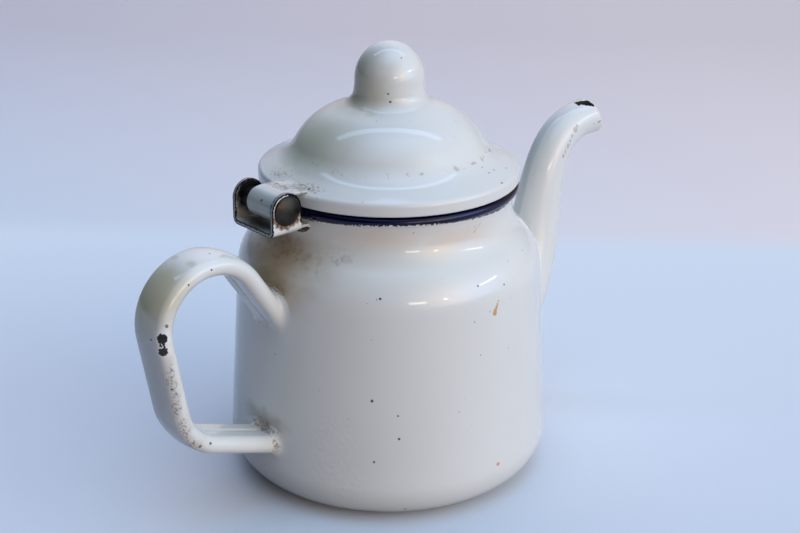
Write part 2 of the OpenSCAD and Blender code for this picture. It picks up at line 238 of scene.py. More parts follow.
def net(rows, cols, closed_rows=False, closed_cols=False):
    """Quads of a grid of points, row by row."""
    faces = []
    for i in range(rows if closed_rows else rows - 1):
        for j in range(cols if closed_cols else cols - 1):
            a, b = i * cols + j, i * cols + (j + 1) % cols
            up = ((i + 1) % rows) * cols
            faces.append((a, b, up + (j + 1) % cols, up + j))
    return faces


def turn_round(outline, steps):
    """Points and faces of a closed outline (radius, height) turned about the Z axis."""
    turn = np.linspace(0, 2 * math.pi, steps, endpoint=False)
    line = np.array(outline)
    points = np.stack([np.outer(line[:, 0], np.cos(turn)), np.outer(line[:, 0], np.sin(turn)),
                       np.repeat(line[:, 1:], steps, 1)], 2).reshape(-1, 3)
    return points, net(len(line), steps, closed_cols=True)


def in_mm(tree):
    """Places on a piece in mm, which every pattern is measured in."""
    place = put(tree, "TexCoord").node.outputs["Object"]
    return put(tree, "VectorMath", {0: place, "Scale": 1000.0}, operation="SCALE")


def enamel(name, base="#e3e4e0", tint="#dbdbd4", marks=()):
    """White vitreous enamel: a glossy glass coat with fine orange peel, faint tone drift and
    pinholes. marks is a list of functions that lay chips and stains over it."""
    made = bpy.data.materials.new(name)
    made.use_nodes = True
    tree = made.node_tree
    mm = in_mm(tree)
    drift = put(tree, "TexNoise", {"Vector": mm, "Scale": 1 / 30, "Detail": 3.0})
    tone = put(tree, "Mix", {"Factor": drift, "A": colour(base), "B": colour(tint)}, data_type="RGBA")
    peel = put(tree, "TexNoise", {"Vector": mm, "Scale": 1 / 3.0, "Detail": 2.0})
    state = {"tree": tree, "mm": mm, "colour": tone, "metal": 0.0,
             "rough": put(tree, "MapRange", [drift, 0.0, 1.0, 0.035, 0.09]),
             "height": put(tree, "Math", [peel, 0.012], operation="MULTIPLY")}
    for mark in marks:
        mark(state)
    bump = put(tree, "Bump", {"Height": state["height"], "Distance": 0.001, "Strength": 1.0})
    shader = tree.nodes["Principled BSDF"]
    feed(shader, {"IOR": 1.52, "Base Color": state["colour"], "Roughness": state["rough"], "Normal": bump})
    if state["metal"]:
        feed(shader, {"Metallic": state["metal"]})
    return made


def ragged_mask(state, places, soft=0.2, ragged=0.5, grain=1.0):
    """1 inside ragged spots and 0 outside. Each place is x, y, z and one half-size or three, in mm."""
    tree = state["tree"]
    torn = put(tree, "TexNoise", {"Vector": state["mm"], "Scale": 1 / grain, "Detail": 3.0}).node.outputs["Color"]
    shift = put(tree, "VectorMath", [torn, [2 * ragged] * 3, [-ragged] * 3], operation="MULTIPLY_ADD")
    moved = put(tree, "VectorMath", [state["mm"], shift], operation="ADD")
    nearest = None
    for x, y, z, *half in places:
        fit = [1 / h for h in (half if len(half) == 3 else half * 3)]
        local = put(tree, "VectorMath", [moved, fit, (-x * fit[0], -y * fit[1], -z * fit[2])],
                    operation="MULTIPLY_ADD")
        away = put(tree, "VectorMath", [local], operation="LENGTH")
        nearest = away if nearest is None else put(tree, "Math", [nearest, away], operation="MINIMUM")
    return put(tree, "MapRange", [nearest, 1 - soft, 1 + soft, 1.0, 0.0], interpolation_type="SMOOTHSTEP")


def lay(state, mask, shade, rough=0.3, lift=0.0, amount=1.0, metal=0.0):
    """Covers the enamel with a shade and a roughness where mask is 1, and lifts it in mm. metal is 1 for
    scale on bare steel, which shines far less than glass does."""
    tree = state["tree"]
    share = put(tree, "Math", [mask, amount], operation="MULTIPLY")
    state["colour"] = put(tree, "Mix", {"Factor": share, "A": state["colour"], "B": colour(shade)},
                          data_type="RGBA")
    state["rough"] = put(tree, "Mix", {"Factor": share, "A": state["rough"], "B": rough})
    if lift:
        state["height"] = put(tree, "Math", [mask, lift, state["height"]], operation="MULTIPLY_ADD")
    if metal or state["metal"]:
        state["metal"] = put(tree, "Mix", {"Factor": share, "A": state["metal"], "B": metal})


def spots(places, shade, rough=0.3, lift=0.0, amount=1.0, metal=0.0, **shape):
    """A mark of plain ragged spots."""
    return lambda state: lay(state, ragged_mask(state, places, **shape), shade, rough, lift, amount, metal)


def speckle(places, shade, fleck, cover, rough=0.6, lift=0.0, amount=1.0, **shape):
    """A mark of flecks, in mm, that cover a share of some spots."""
    def mark(state):
        tree = state["tree"]
        inside = ragged_mask(state, places, **shape)
        dust = put(tree, "TexNoise", {"Vector": state["mm"], "Scale": 1 / fleck, "Detail": 4.0, "Roughness": 0.65})
        level = put(tree, "Math", [inside, cover], operation="MULTIPLY")
        over = put(tree, "Math", [dust, level], operation="ADD")
        grains = put(tree, "MapRange", [over, 0.68, 0.82], interpolation_type="SMOOTHSTEP")
        mask = put(tree, "Math", [grains, inside], operation="MULTIPLY")
        lay(state, mask, shade, rough, lift, amount)
    return mark


def pinholes(state, cell=1.9, active=0.86, widest=0.30):
    """Dark gas pinholes of up to 0.3 mm all over, a little larger than real ones so that they show."""
    tree = state["tree"]
    cells = put(tree, "TexVoronoi", {"Vector": state["mm"], "Scale": 1 / cell}).node.outputs
    chance = put(tree, "SeparateColor", [cells["Color"]])
    radius = put(tree, "MapRange", [chance, active, 1.0, 0.0, widest / cell])
    over = put(tree, "Math", [radius, cells["Distance"]], operation="SUBTRACT")
    mask = put(tree, "MapRange", [over, 0.0, 0.05])
    lay(state, mask, "#5d564c", 0.5, -0.03, 0.75)


def from_axis(state):
    """Distance in mm from the pot's upright axis."""
    level = put(state["tree"], "VectorMath", [state["mm"], (1, 1, 0)], operation="MULTIPLY")
    return put(state["tree"], "VectorMath", [level], operation="LENGTH")


WAVES, WAVE_TURN = 3.0, 3 * math.radians(127)
BAND_BLACK_Z, BAND_BLUE_Z, BAND_R = (90.6, 90.9), (91.0, 91.5), (37.3, 37.6)


def rim_band(state):
    """Cobalt enamel brushed round the curled rim over black ground coat, with a wavy, speckled lower edge."""
    tree = state["tree"]
    part = put(tree, "SeparateXYZ", [state["mm"]]).node.outputs
    turn = put(tree, "Math", [part["Y"], part["X"]], operation="ARCTAN2")
    wave = put(tree, "Math", [turn, WAVES, WAVE_TURN], operation="MULTIPLY_ADD")
    swell = put(tree, "Math", [wave], operation="COSINE")
    brush = put(tree, "TexNoise", {"Vector": state["mm"], "Scale": 1 / 0.7, "Detail": 4.0})
    above = put(tree, "Math", [swell, -1.0, part["Z"]], operation="MULTIPLY_ADD")
    torn = put(tree, "Math", [brush, 2.2, above], operation="MULTIPLY_ADD")
    low = put(tree, "MapRange", [torn, *BAND_BLACK_Z])
    front = put(tree, "MapRange", [from_axis(state), *BAND_R])
    mask = put(tree, "Math", [low, front], operation="MULTIPLY")
    lay(state, mask, "#07070d", 0.2, metal=0.5)
    blue = put(tree, "MapRange", [torn, *BAND_BLUE_Z])
    lay(state, put(tree, "Math", [blue, mask], operation="MULTIPLY"), "#0b0930", 0.1, metal=0.45)


def boiled_patch(state):
    """A thumb-sized patch of coarse boiled texture low on the side, where the coat ran thick."""
    tree = state["tree"]
    inside = ragged_mask(state, [(-43, -24, 24, 6, 8, 13), (-40, -29, 13, 5, 6, 8)], 0.5, 4, 8)
    boil = put(tree, "TexVoronoi", {"Vector": state["mm"], "Scale": 1 / 1.5}, feature="SMOOTH_F1")
    lumps = put(tree, "Math", [boil, inside], operation="MULTIPLY")
    state["height"] = put(tree, "Math", [lumps, -0.10, state["height"]], operation="MULTIPLY_ADD")


shell_enamel = enamel("white vitreous enamel, body", marks=[
    pinholes, rim_band,
    # grease and smoke under the hinge and over the shoulder, as a wide veil with darker clouds in it;
    # the veil is also painted warm shade on that side, and a pale warm tint lies over the neck's front
    spots([(-42, 5, 79, 9, 19, 8), (-45, 0, 70, 6, 13, 8)], "#9c7830", 0.2, 0, 0.66, soft=0.75, ragged=4, grain=9),
    speckle([(-40, 0, 78.5, 7, 18, 5), (-34.5, -18, 80, 5, 6, 3)], "#5b4d32", 2.6, 0.24, 0.4, 0, 0.24, soft=0.8,
            ragged=3, grain=4),
    speckle([(-40, -1, 78.5, 6, 14, 3.2), (-34.5, -18, 79.5, 5, 5, 1.8)], "#54462c", 0.8, 0.17, 0.5, 0.01, 0.28,
            soft=0.8, ragged=2, grain=4),
    spots([(-28, -27, 86, 12, 12, 3.2), (-6, -38, 84, 11, 8, 3.6)], "#d8b48c", 0.1, 0, 0.33, soft=0.8, ragged=3,
          grain=8),
    # rust that wept from the two handle joints
    spots([(-46.5, -1, 70, 2.5, 7.5, 3.0), (-49, 1, 26.5, 3, 8.5, 2.6)], "#76694c", 0.35, 0, 0.5, soft=0.8,
          ragged=2, grain=3),
    speckle([(-46.5, -2.5, 69, 3, 6.5, 2.0), (-49, 0, 24.8, 3, 8.5, 1.9), (-50, -7.9, 20.5, 2, 1.6, 3.4)],
            "#6b4a2a", 0.9, 0.24, 0.65, 0.03, 0.6, soft=0.5, ragged=1.2, grain=1.6),
    spots([(-50.5, 3.0, 63.6, 0.5, 0.35, 1.6), (-50.6, 3.3, 65.0, 0.5, 0.3, 0.8)], "#5c5140", 0.4, -0.03, 0.9),
    # a drip of old coffee, an orange fleck and a tan scratch
    spots([(1.63, -46.57, 65.87, 0.35), (1.1, -46.65, 65.1, 0.4), (0.66, -46.72, 64.24, 0.55),
           (0.1, -46.8, 63.2, 0.75), (0, -46.82, 62.6, 0.8)],
          "#c69a62", 0.3, 0.04, 0.95, ragged=0.35),
    spots([(0.28, -49.87, 14.27, 0.62)], "#cf8d50", 0.3, 0, 0.9),
    spots([(28.6, -27.65, 78.6, 1.0, 1.0, 0.35)], "#c2a680", 0.3, 0, 0.8),
    spots([(2.16, -37.5, 86.81, 0.22), (1.5, -37.5, 86.3, 0.2), (0.8, -37.5, 85.7, 0.2), (0.2, -37.5, 85.2, 0.22),
           (-0.2, -37.53, 84.9, 0.2)],
          "#8f7a5c", 0.4, 0, 0.8, ragged=0.1),
    # larger pinholes
    spots([(-34.98, -33.17, 40.48, 0.42), (-29.68, -38.95, 28.72, 0.36), (-35.37, -34.51, 21.38, 0.36),
           (-29.64, -38.4, 35.93, 0.3), (-26.95, -38.76, 4.35, 0.4), (-31.53, -32.59, 71.03, 0.35),
           (-5.14, -44.76, 71.73, 0.3), (4.62, -45.55, 69.84, 0.3), (-44, -24, 52, 0.3), (38, -30, 44, 0.35),
           (20, 46, 30, 0.4), (-12, 48, 55, 0.35), (30, 37, 62, 0.35), (-30, 39, 20, 0.3)],
          "#26221e", 0.5, -0.06, 0.95, ragged=0.25, grain=0.5),
    boiled_patch,
])

TURN_STEPS, BEAD_GAP, CURL_GAP = 288, 0.12, 4


def clear_of_bead(line):
    """The part of a skin that stays outside the bead."""
    return [p for p in line if math.hypot(p[0] - BEAD[0], p[1] - BEAD[1]) > BEAD_R + BEAD_GAP]


def bead_angle(point):
    """Where a point lies round the bead, in degrees."""
    return math.degrees(math.atan2(point[1] - BEAD[1], point[0] - BEAD[0]))


outer, inner = clear_of_bead(body_skin(0)), clear_of_bead(body_skin(SHEET))
curl = arc(BEAD, BEAD_R, bead_angle(outer[-1]) + CURL_GAP, bead_angle(inner[-1]) % 360 - CURL_GAP, 12)
points, faces = turn_round(outer + curl + inner[::-1], TURN_STEPS)
pot_shell = piece("pot_shell", points, faces, shell_enamel)

HOLE_R, PITCH, RINGS, MIDDLE_HOLE = 1.6, 5.0, 2, (48.0, 0.0, 33.464)
PUNCH_SIDES, PUNCH_LONG = 28, 16.0


def grow(target, tree, values):
    """Runs geometry nodes on an object with inputs set by name, and keeps the result as its mesh."""
    step = target.modifiers.new(tree.name, "NODES")
    step.node_group = tree
    keys = {item.name: item.identifier for item in tree.interface.items_tree if item.in_out == "INPUT"}
    for label, value in values.items():
        step[keys[label]] = value
    target.update_tag()
    made = bpy.data.meshes.new_from_object(target.evaluated_get(bpy.context.evaluated_depsgraph_get()))
    target.modifiers.clear()
    target.data = made
    made.name = target.name
    return target


def growth(name, inputs):
    """An empty tree of geometry nodes with inputs named and typed, and the sockets that give them."""
    tree = bpy.data.node_groups.new(name, "GeometryNodeTree")
    for label, kind in {"Geometry": "Geometry", **inputs}.items():
        tree.interface.new_socket(label, in_out="INPUT", socket_type="NodeSocket" + kind)
    tree.interface.new_socket("Geometry", in_out="OUTPUT", socket_type="NodeSocketGeometry")
    return tree, put(tree, "NodeGroupInput").node.outputs


def strainer():
    """Geometry nodes that punch a hexagon of holes through the wall behind the spout."""
    tree, given = growth("strainer holes", {"Hole Radius": "Float", "Pitch": "Float", "Rings": "Int",
                                            "Middle Hole": "Vector", "Finish": "Material"})
    wide = put(tree, "Math", [given["Rings"], 2.0, 1.0], operation="MULTIPLY_ADD")
    total = put(tree, "Math", [wide, wide], operation="MULTIPLY")
    index = put(tree, "GeometryNodeInputIndex")
    column = put(tree, "Math", [index, wide], operation="MODULO")
    rows_before = put(tree, "Math", [index, wide], operation="DIVIDE")
    row = put(tree, "Math", [rows_before], operation="FLOOR")
    i, j = [put(tree, "Math", [at, given["Rings"]], operation="SUBTRACT") for at in (row, column)]
    sideways = put(tree, "Math", [j, 0.5, i], operation="MULTIPLY_ADD")
    upwards = put(tree, "Math", [j, math.sin(math.pi / 3)], operation="MULTIPLY")
    step = put(tree, "CombineXYZ", {"Y": sideways, "Z": upwards})
    spread_out = put(tree, "VectorMath", {0: step, "Scale": given["Pitch"]}, operation="SCALE")
    where = put(tree, "VectorMath", [spread_out, given["Middle Hole"]], operation="ADD")
    both = put(tree, "Math", [i, j], operation="ADD")
    ring_no = put(tree, "Math", [both], operation="ABSOLUTE")
    beyond = put(tree, "Math", [given["Rings"], 0.5], operation="ADD")
    kept = put(tree, "Math", [ring_no, beyond], operation="LESS_THAN")
    places = put(tree, "GeometryNodePoints", {"Count": total, "Position": where})
    punch = put(tree, "GeometryNodeMeshCylinder", {"Vertices": PUNCH_SIDES, "Radius": given["Hole Radius"],
                                                   "Depth": PUNCH_LONG * 0.001})
    # half a facet of turn keeps the punches' corners off the shell's seam
    punch = put(tree, "GeometryNodeTransform", {"Geometry": punch, "Rotation": (0.0, 0.0, math.pi / PUNCH_SIDES)})
    lying = put(tree, "FunctionNodeEulerToRotation", [(0.0, math.pi / 2, 0.0)])
    punches = put(tree, "GeometryNodeInstanceOnPoints", {"Points": places, "Selection": kept, "Instance": punch,
                                                         "Rotation": lying})
    real = put(tree, "GeometryNodeRealizeInstances", [punches])
    cut = put(tree, "GeometryNodeMeshBoolean", [given["Geometry"], real], operation="DIFFERENCE", solver="EXACT")
    put(tree, "NodeGroupOutput", [put(tree, "GeometryNodeSetMaterial",
                                      {"Geometry": cut, "Material": given["Finish"]})])
    return tree


grow(pot_shell, strainer(), {"Hole Radius": HOLE_R * 0.001, "Pitch": PITCH * 0.001, "Rings": RINGS,
                             "Middle Hole": [c * 0.001 for c in MIDDLE_HOLE], "Finish": shell_enamel})
pot_shell.data.set_sharp_from_angle(angle=math.radians(40))
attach(pot_shell, "pot")
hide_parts("base_pan", "body", "neck")

# --- Spout: two pressed halves welded edge to edge -----------------------------------
# A gooseneck tube of the same sheet, welded along top and bottom and round its root, where
# the enamel fills the joint into a soft fillet. The mouth is cut on a slant.
SPOUT_LINE = np.array([(44.0, 30.0), (44 + 40 * math.cos(math.pi / 6), 50.0), (53.8, 95.1), (89.8, 95.1)])
ROOT_R, TIP_R, NARROWING = 13.8, 6.1, 2.4
mouth_slant = math.radians(20)
mouth_ahead = np.array([math.cos(mouth_slant), 0, math.sin(mouth_slant)])
mouth_at = np.array([SPOUT_LINE[3][0], 0, SPOUT_LINE[3][1]])


def spout_lines(inset, around, count=600):
    """Points of the tube's skin, moved in by inset: one line along the tube for each angle around it."""
    t = np.linspace(-0.1, 1.12, count)
    b = [(1 - t) ** 3, 3 * (1 - t) ** 2 * t, 3 * (1 - t) * t ** 2, t ** 3]
    c = sum(w[:, None] * p for w, p in zip(b, SPOUT_LINE))
    d = np.gradient(c, axis=0)
    d /= np.linalg.norm(d, axis=1)[:, None]
    r = TIP_R + (ROOT_R - TIP_R) * np.maximum(0, 1 - t) ** NARROWING - inset
    a = np.array(around)[:, None]
    return np.stack([c[:, 0] - d[:, 1] * r * np.cos(a), r * np.sin(a) + 0 * c[:, 0],
                     c[:, 1] + d[:, 0] * r * np.cos(a)], 2)


def outside_body(points):
    """How far points lie outside the body, positive outside."""
    return np.hypot(points[..., 0], points[..., 1]) - body_radius(points[..., 2])


def crossing(gap):
    """The fractional index on a line where its gap turns positive for good."""
    k = np.nonzero(gap < 0)[0][-1]
    return k + gap[k] / (gap[k] - gap[k + 1])


def at(line, where):
    """Points of a line at fractional indices."""
    index = np.arange(len(line))
    return np.stack([np.interp(where, index, line[:, i]) for i in range(3)], 1)


def each_at(lines, where):
    """One point of each line, at its own fractional index."""
    return np.array([at(line, [w])[0] for line, w in zip(lines, where)])


def rows_between(lines, starts, ends, count):
    """Rows of points spread evenly between two fractional indices of each line."""
    spread = [at(line, np.linspace(s, e, count)) for line, s, e in zip(lines, starts, ends)]
    return np.array(spread).transpose(1, 0, 2)


SUNK = 0.4


def inner_starts(lines):
    """Where the lines of a tube's inner skin leave the body's sheet, just under its skin."""
    return [crossing(outside_body(line) + SUNK) for line in lines]


def onto_body(points):
    """Points moved level onto the body's skin."""
    scale = body_radius(points[:, 2]) / np.hypot(points[:, 0], points[:, 1])
    return np.stack([points[:, 0] * scale, points[:, 1] * scale, points[:, 2]], 1)


def body_normal(points):
    """Outward normals of the body's skin."""
    slope = (body_radius(points[:, 2] + 0.05) - body_radius(points[:, 2] - 0.05)) / 0.1
    level = points[:, :2] / np.hypot(points[:, 0], points[:, 1])[:, None]
    n = np.column_stack([level, -slope])
    return n / np.linalg.norm(n, axis=1)[:, None]


def weld(lines, normals, spread, rows=9):
    """Filleted end of a tube whose lines start inside the body. normals are the tube's own,
    and spread says how far each fillet reaches. Returns rows of points and the starts left over."""
    hits = np.array([crossing(outside_body(line)) for line in lines])
    meet = each_at(lines, hits)
    step = np.array([np.linalg.norm(line[int(h) + 1] - line[int(h)]) for line, h in zip(lines, hits)])
    starts = hits + spread / step
    above = each_at(lines, starts)
    n = body_normal(meet)
    out = normals - (normals * n).sum(1)[:, None] * n
    out /= np.linalg.norm(out, axis=1)[:, None]
    foot = onto_body(meet + out * spread[:, None])
    u = np.linspace(0, 1, rows)[:, None, None]
    sweep = (1 - u) ** 2 * foot + 2 * u * (1 - u) * meet + u ** 2 * above
    sunk = foot - SUNK * body_normal(foot)
    return np.concatenate([sunk[None], sweep[:-1]]), starts


def spout_seam(state):
    """The two weld beads along the tube, ground low and drowned in enamel."""
    tree = state["tree"]
    side = put(tree, "SeparateXYZ", [state["mm"]]).node.outputs["Y"]
    off = put(tree, "Math", [side], operation="ABSOLUTE")
    bead = put(tree, "MapRange", [off, 0.0, 1.3, 0.07, 0.0], interpolation_type="SMOOTHSTEP")
    state["height"] = put(tree, "Math", [state["height"], bead], operation="ADD")


spout_enamel = enamel("white vitreous enamel, spout", marks=[
    pinholes, spout_seam,
    # the side of the bend has lost flakes, and the lip has one large chip down to the ground coat
    spots([(70.8, -6.44, 85.9, 0.5, 1, 0.7), (71.8, -6.4, 87.3, 0.35, 1, 0.8), (72.9, -6.3, 88.9, 0.45, 1, 0.8),
           (73.9, -6.2, 90.4, 0.3, 1, 0.6), (74.9, -6.1, 91.9, 0.45, 1, 0.5)],
          "#8d8272", 0.4, -0.04, 0.55, ragged=0.6, grain=0.7),
    spots([(76.6, -5.9, 93.8, 1.0, 1, 1.0), (77.4, -5.8, 94.9, 0.6, 1, 0.7)], "#b08f7c", 0.3, -0.02, 0.6),
    spots([(84.6, -1.9, 100.7, 1.7, 1.9, 1.2), (86.3, -2.9, 100.2, 1.8, 2.0, 1.3),
           (87.6, -3.6, 99.4, 1.1, 1.2, 1.0)], "#efeee9", 0.12, 0.04, 0.7, soft=0.5),
    spots([(82.9, -0.9, 100.9, 1.2, 1.5, 1.0), (84.2, -1.5, 100.8, 1.4, 1.6, 1.1),
           (85.7, -2.5, 100.5, 1.6, 1.8, 1.1), (87.0, -3.3, 99.7, 0.8, 0.9, 0.8)],
          "#0e0c12", 0.5, -0.14, 1.0, 0.9, soft=0.08, ragged=0.7, grain=0.9),
    spots([(88.1, -6.0, 94.3, 0.9, 0.8, 0.5), (88.6, 5.8, 96.0, 0.6, 0.8, 0.5)], "#7b8088", 0.4, -0.04, 0.6),
])
SIDES, LENGTHS, LIP, LIP_LEAN, FILLET_TOP, FILLET_LOW = 96, 150, 0.9, 0.1, 2.4, 5.0
around = np.linspace(0, 2 * math.pi, SIDES, endpoint=False)
skin_out, skin_in = spout_lines(0, around), spout_lines(SHEET, around)
tube_normals = spout_lines(-1, around) - skin_out
root_normals = each_at(tube_normals, [crossing(outside_body(line)) for line in skin_out])
spread = FILLET_TOP + (FILLET_LOW - FILLET_TOP) * (1 - np.cos(around)) / 2
collar_rows, starts = weld(skin_out, root_normals, spread)


def mouth_of(skin):
    """Where a skin's lines reach the mouth, and where their lip begins before it."""
    cut = [crossing((line - mouth_at) @ mouth_ahead) for line in skin]
    return cut, [m - LIP / np.linalg.norm(line[-9] - line[-10]) for line, m in zip(skin, cut)]


(cut_out, lip_out), (cut_in, lip_in) = mouth_of(skin_out), mouth_of(skin_in)
rows_out = rows_between(skin_out, starts, lip_out, LENGTHS)
rows_in = rows_between(skin_in, lip_in, inner_starts(skin_in), LENGTHS // 2)
edge_out, edge_in = each_at(skin_out, cut_out), each_at(skin_in, cut_in)
middle = (edge_out + edge_in) / 2
u = np.linspace(0, 1, 7)[1:-1, None, None]
lip_rows = ((1 - u) ** 3 * rows_out[-1] + 3 * (1 - u) ** 2 * u * ((1 - LIP_LEAN) * edge_out + LIP_LEAN * middle)
            + 3 * (1 - u) * u ** 2 * ((1 - LIP_LEAN) * edge_in + LIP_LEAN * middle) + u ** 3 * rows_in[0])
grid = np.concatenate([collar_rows, rows_out, lip_rows, rows_in])
spout = piece("spout", grid.reshape(-1, 3), net(len(grid), SIDES, True, True), spout_enamel)
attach(spout, "pot")
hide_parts("spout_left", "spout_right")

# --- Handle: a strap with rolled edges ------------------------------------------------
# One strip of sheet, its edges rolled in towards the fingers, bent to a tall D and welded to
# the shoulder and the side. Enamel runs into both joints.
STRAP_W, STRAP_D, CROWN, SLOT = 14.6, 5.4, 0.5, 1.4
TOP_BEND, TOP_R, LOW_R = (-69.2, 65.5), 16.3, 16.8
TOP_FROM, TOP_TO, LOW_TO = 34.0, 190.0, 251.0
GRIP, ARM = 22.9, 38.4
JOINT_FILLET, EDGE_FILLET, EDGE_POINTS, EDGE_BULGE, HALF_ROWS = 2.6, 0.5, 4, 0.5, 90
# steps along the strap in mm, in degrees round its bends, and as a share of the grip
ARM_STEP, BEND_STEP, GRIP_STEP = 0.5, 1.8, 0.03


def strap_section(inset, fine=9.0):
    """The strap's skin across: first number away from the fingers, second across the strap."""
    r, h = STRAP_D / 2, (STRAP_W - STRAP_D) / 2
    d = (h * h - CROWN ** 2) / (2 * CROWN)
    turn = math.degrees(math.atan2(h, d))
    flat = run((inset - r, SLOT / 2), (inset - r, h), 6)
    half = ([(inset - r, SLOT / 2)] + flat + arc((0, h), r - inset, 180, turn, fine)
            + arc((-d, 0), math.hypot(h, d) + r - inset, turn, 0, 0.45)[1:])
    return half + [(x, -y) for x, y in half[-2::-1]]


def strap_stations():
    """Points and headings along the strap's middle, shoulder to side."""
    def stop(centre, radius, angle, along=0.0):
        a = math.radians(angle)
        heading = np.array([-math.sin(a), math.cos(a)])
        return np.array(centre) + radius * np.array([math.cos(a), math.sin(a)]) + along * heading, a
    grip_top = stop(TOP_BEND, TOP_R, TOP_TO)
    foot = stop(TOP_BEND, TOP_R, TOP_TO, GRIP)[0]
    low = foot - LOW_R * np.array([math.cos(math.radians(TOP_TO)), math.sin(math.radians(TOP_TO))])
    path = [stop(TOP_BEND, TOP_R, TOP_FROM, -s) for s in np.arange(ARM, 0, -ARM_STEP)]
    path += [stop(TOP_BEND, TOP_R, a) for a in np.arange(TOP_FROM, TOP_TO, BEND_STEP)]
    path += [(grip_top[0] + (foot - grip_top[0]) * k, grip_top[1]) for k in np.arange(0, 1, GRIP_STEP)]
    path += [stop(low, LOW_R, a) for a in np.arange(TOP_TO, LOW_TO, BEND_STEP)]
    path += [stop(low, LOW_R, LOW_TO, s) for s in np.arange(0, ARM, ARM_STEP)]
    return path


def strap_lines(section):
    """One line along the strap for each point of its section."""
    return np.array([[(p[0] + out * math.cos(a), side, p[1] + out * math.sin(a)) for p, a in strap_stations()]
                     for out, side in section])


outer_section, inner_section = strap_section(0), strap_section(SHEET)
lines_out, lines_in = strap_lines(outer_section), strap_lines(inner_section)
ring = np.array(outer_section)
tangent = np.gradient(ring, axis=0)
side_normal = np.stack([-tangent[:, 1], tangent[:, 0]], 1)
side_normal *= np.sign((side_normal * (ring - [-1.0, 0])).sum(1))[:, None]
side_normal /= np.linalg.norm(side_normal, axis=1)[:, None]
ends = strap_stations()
handle_enamel = enamel("white vitreous enamel, handle", marks=[
    pinholes,
    # two knocks on the grip broke the enamel off to black, each with a pale bruised edge
    spots([(-87.0, -6.8, 66.0, 2.4, 2.6, 2.6), (-86.9, -6.7, 62.3, 2.3, 2.6, 2.5)], "#f2f0ea", 0.1, 0.05, 0.75,
          soft=0.35),
    spots([(-87.0, -6.8, 66.2, 1.25, 1.7, 1.55), (-86.85, -6.7, 62.2, 1.2, 1.6, 1.35),
           (-86.6, -6.7, 64.2, 0.45, 0.8, 0.9), (-87.6, -6.7, 64.3, 0.3, 0.6, 0.7)],
          "#0e0c10", 0.5, -0.16, 1.0, 0.9, soft=0.08, ragged=0.8, grain=1.0),
    spots([(-85.7, -7.2, 69.7, 0.5), (-76.8, -7.0, 29.8, 0.5), (-73.3, -7.2, 29.6, 0.45)], "#5a4530", 0.5, -0.05,
          0.9, ragged=0.3),
    # rust pits along the near edge of the grip, and grease rubbed over the grip and the top bend; the
    # olive stain on the top bend is also painted warm shade
    spots([(-85.2, -7.2, 54, 1.3, 1.8, 7), (-83.4, -7.2, 44, 1.4, 1.8, 7), (-80.6, -6.8, 35.5, 1.8, 1.8, 5),
           (-77.5, -6.4, 30.6, 2.6, 1.8, 2.2)],
          "#b49a78", 0.3, -0.03, 0.18, soft=0.7, ragged=2.2, grain=2.2),
    speckle([(-85.3, -6.8, 53.6, 1.6, 2.2, 6), (-83.8, -6.8, 45.2, 1.7, 2.4, 6), (-81.5, -6.6, 37.0, 2.0, 2.6, 6),
             (-78.8, -5.9, 31, 3, 2.6, 3)],
            "#6e5a44", 0.7, 0.20, 0.4, -0.09, 0.7, soft=0.6, ragged=1.5, grain=2.5),
    speckle([(-84.4, -6.8, 48.6, 1.5, 2.0, 9), (-80.5, -6.4, 34.0, 2.4, 2.2, 4)],
            "#574634", 1.6, 0.15, 0.5, -0.06, 0.5, soft=0.5, ragged=1.5, grain=2.5),
    spots([(-87.5, 1, 55, 4, 8, 17)], "#aaa38f", 0.12, 0, 0.22, soft=0.8, ragged=4, grain=10),
    spots([(-84, 1, 77, 9, 9, 10.5)], "#b09c50", 0.08, 0, 0.55, soft=0.45, ragged=3, grain=9),
    spots([(-75.1, 3.6, 83.6, 1.0, 1.4, 1), (-74.5, -3.6, 83.8, 1.2, 1.5, 1)], "#9d9a7c", 0.3, 0, 0.4, soft=0.6),
    spots([(-67.7, -2.4, 84.6, 0.35), (-70.5, -7.2, 82.2, 0.3), (-78.1, -7.2, 79.7, 0.3), (-88.3, -3.3, 65.2, 0.35),
           (-84.8, -6.7, 50.2, 0.35), (-60, 3, 80, 0.3), (-88, 4, 58, 0.3)],
          "#2c2620", 0.5, -0.05, 0.9, ragged=0.2, grain=0.5),
    # rust crept along both ends from the welds
    speckle([(-47.0, -2, 69, 2.5, 8, 2.2), (-49.5, 0, 24.0, 2.2, 8.5, 2.6), (-50.5, -7.5, 21, 1.5, 1.6, 3)],
            "#70502f", 0.9, 0.26, 0.6, 0.03, 0.7, soft=0.6, ragged=1.2, grain=1.6),
])
half_way = lines_out.shape[1] // 2
edge = np.minimum(np.arange(len(ring)), np.arange(len(ring))[::-1])
spread = np.where(edge < EDGE_POINTS, EDGE_FILLET * (1 + edge), JOINT_FILLET)
halves = []
for a, part in ((ends[0][1], np.s_[:, :half_way]), (ends[-1][1], np.s_[:, :half_way - 1:-1])):
    part_out, part_in = lines_out[part], lines_in[part]
    normals = np.stack([side_normal[:, 0] * math.cos(a), side_normal[:, 1], side_normal[:, 0] * math.sin(a)], 1)
    fillet, starts = weld(part_out, normals, spread)
    far = [part_out.shape[1] - 1] * len(part_out)
    rows_in = rows_between(part_in, inner_starts(part_in), far, HALF_ROWS + len(fillet))
    halves.append((np.concatenate([fillet, rows_between(part_out, starts, far, HALF_ROWS)]), rows_in))
outside, inside = [np.concatenate([upper, lower[::-1]]) for upper, lower in zip(*halves)]


def edge_rows(end, way):
    """The rounded cut edge between the strap's two skins, at one side of its slot."""
    rows = []
    for k in np.linspace(0, 1, 6)[1:-1]:
        bulge = np.array([0, way * EDGE_BULGE * math.sin(k * math.pi), 0])
        rows.append(outside[:, end] * (1 - k) + inside[:, end] * k + bulge)
    return rows


